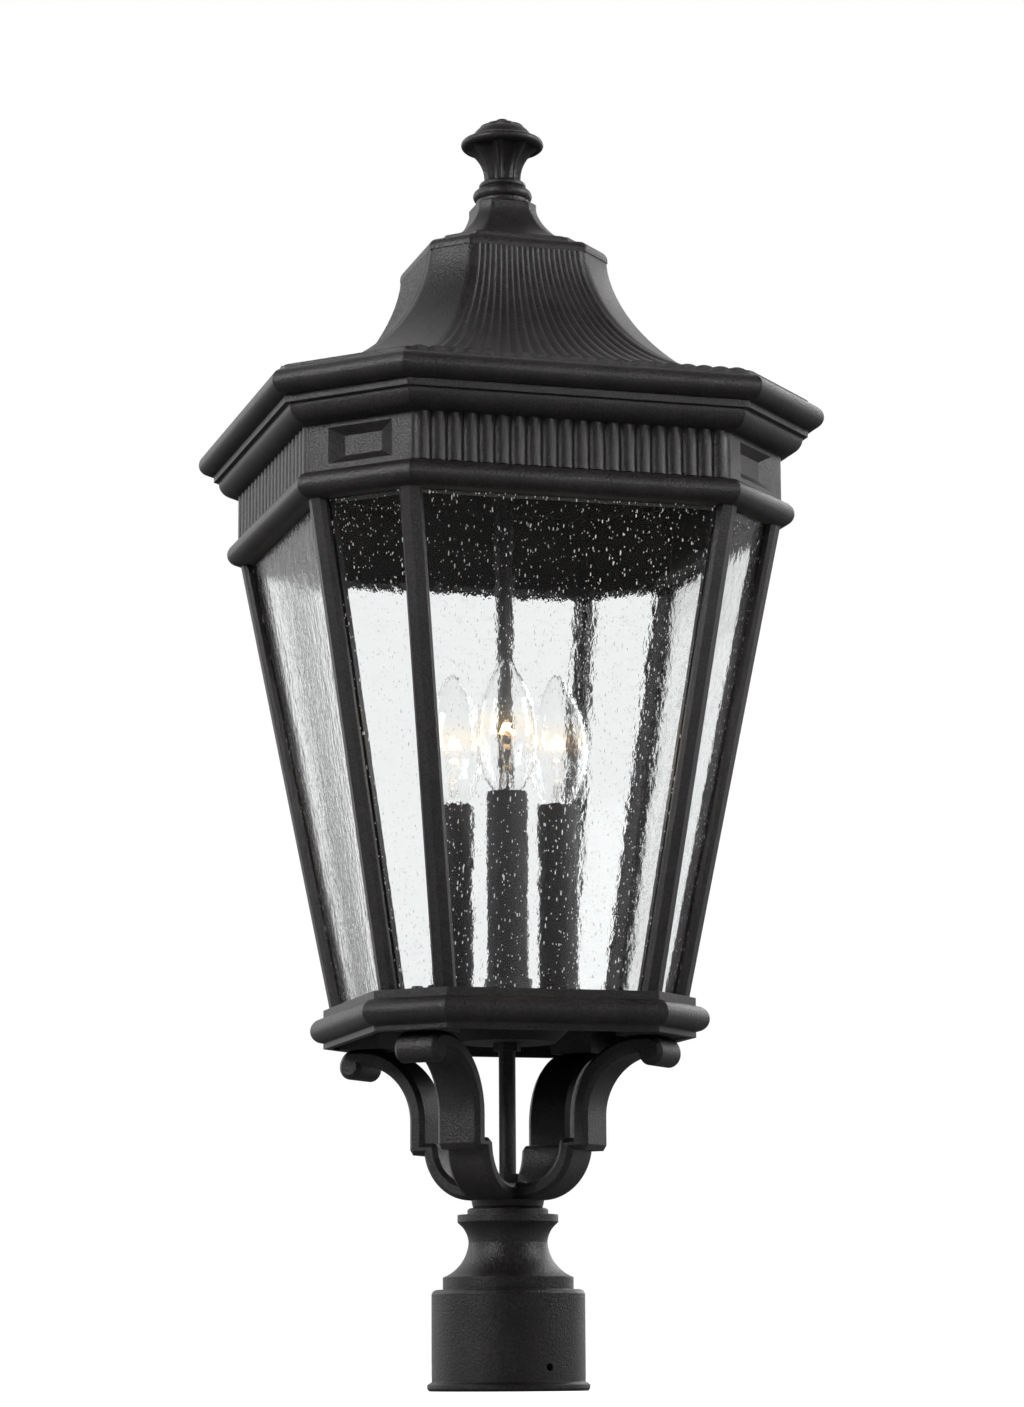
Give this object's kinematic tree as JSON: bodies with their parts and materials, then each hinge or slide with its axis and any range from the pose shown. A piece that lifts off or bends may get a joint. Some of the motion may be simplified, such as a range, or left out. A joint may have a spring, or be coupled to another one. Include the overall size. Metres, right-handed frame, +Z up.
{
  "type": "post top lantern",
  "caption": "Octagonal post top lantern with tapered seeded glass, candle lights, a reeded bell roof and a scroll bracket on a round post fitter.",
  "frame": {"origin": "centre of the post bore's mouth, on the bottom face of the fitter", "axes": "+Z up along the post, -Y out of the front long face, +X to the right"},
  "size_m": [0.3168, 0.3168, 0.7314],
  "materials": {
    "black_casting": "fine textured powder coat",
    "dark_steel": "blackened steel",
    "sleeve": "matt",
    "socket": "moulded phenolic",
    "seeded_glass": "clear with elongated seeds",
    "bulb_glass": "clear",
    "bulb_cap": "satin",
    "filament": "hot wire"
  },
  "bodies": {
    "lantern": {"arm_back_left": "black_casting", "arm_back_right": "black_casting", "arm_front_left": "black_casting", "arm_front_right": "black_casting", "arm_screws": "dark_steel", "bar_back_left": "black_casting", "bar_back_right": "black_casting", "bar_front_left": "black_casting", "bar_front_right": "black_casting", "bar_left_left": "black_casting", "bar_left_right": "black_casting", "bar_right_left": "black_casting", "bar_right_right": "black_casting", "base_dish": "black_casting", "base_tray": "black_casting", "bracket_disc": "black_casting", "candle_plate": "black_casting", "cup_front": "black_casting", "cup_left": "black_casting", "cup_right": "black_casting", "glass_back": "seeded_glass", "glass_back_corner": "seeded_glass", "glass_front": "seeded_glass", "glass_front_corner": "seeded_glass", "glass_left": "seeded_glass", "glass_left_corner": "seeded_glass", "glass_right": "seeded_glass", "glass_right_corner": "seeded_glass", "post_fitter": "black_casting", "riser_front": "dark_steel", "riser_left": "dark_steel", "riser_right": "dark_steel", "sleeve_front": "sleeve", "sleeve_left": "sleeve", "sleeve_right": "sleeve", "socket_front": "socket", "socket_left": "socket", "socket_right": "socket", "stem_nuts": "dark_steel", "stem_tube": "black_casting", "stem_washer": "dark_steel", "top_frame": "black_casting"},
    "roof": {"eave_ring": "black_casting", "roof_bell": "black_casting", "crown_cap": "black_casting"},
    "finial": {"finial": "black_casting"},
    "bulb_front": {"bulb_base_front": "bulb_cap", "bulb_glass_front": "bulb_glass", "filament_front": "filament"},
    "bulb_right": {"bulb_base_right": "bulb_cap", "bulb_glass_right": "bulb_glass", "filament_right": "filament"},
    "bulb_left": {"bulb_base_left": "bulb_cap", "bulb_glass_left": "bulb_glass", "filament_left": "filament"}
  },
  "joints": [
    {"name": "roof_lift", "type": "slide", "parent": "lantern", "child": "roof", "axis": [0, 0, 1], "range_m": [0, 0.18]},
    {"name": "finial_turn", "type": "hinge", "parent": "roof", "child": "finial", "pos_m": [0, 0, 0.6784], "axis": [0, 0, 1], "continuous": true},
    {"name": "bulb_front_out", "type": "slide", "parent": "lantern", "child": "bulb_front", "axis": [0, 0, 1], "range_m": [0, 0.03]},
    {"name": "bulb_right_out", "type": "slide", "parent": "lantern", "child": "bulb_right", "axis": [0, 0, 1], "range_m": [0, 0.03]},
    {"name": "bulb_left_out", "type": "slide", "parent": "lantern", "child": "bulb_left", "axis": [0, 0, 1], "range_m": [0, 0.03]}
  ]
}
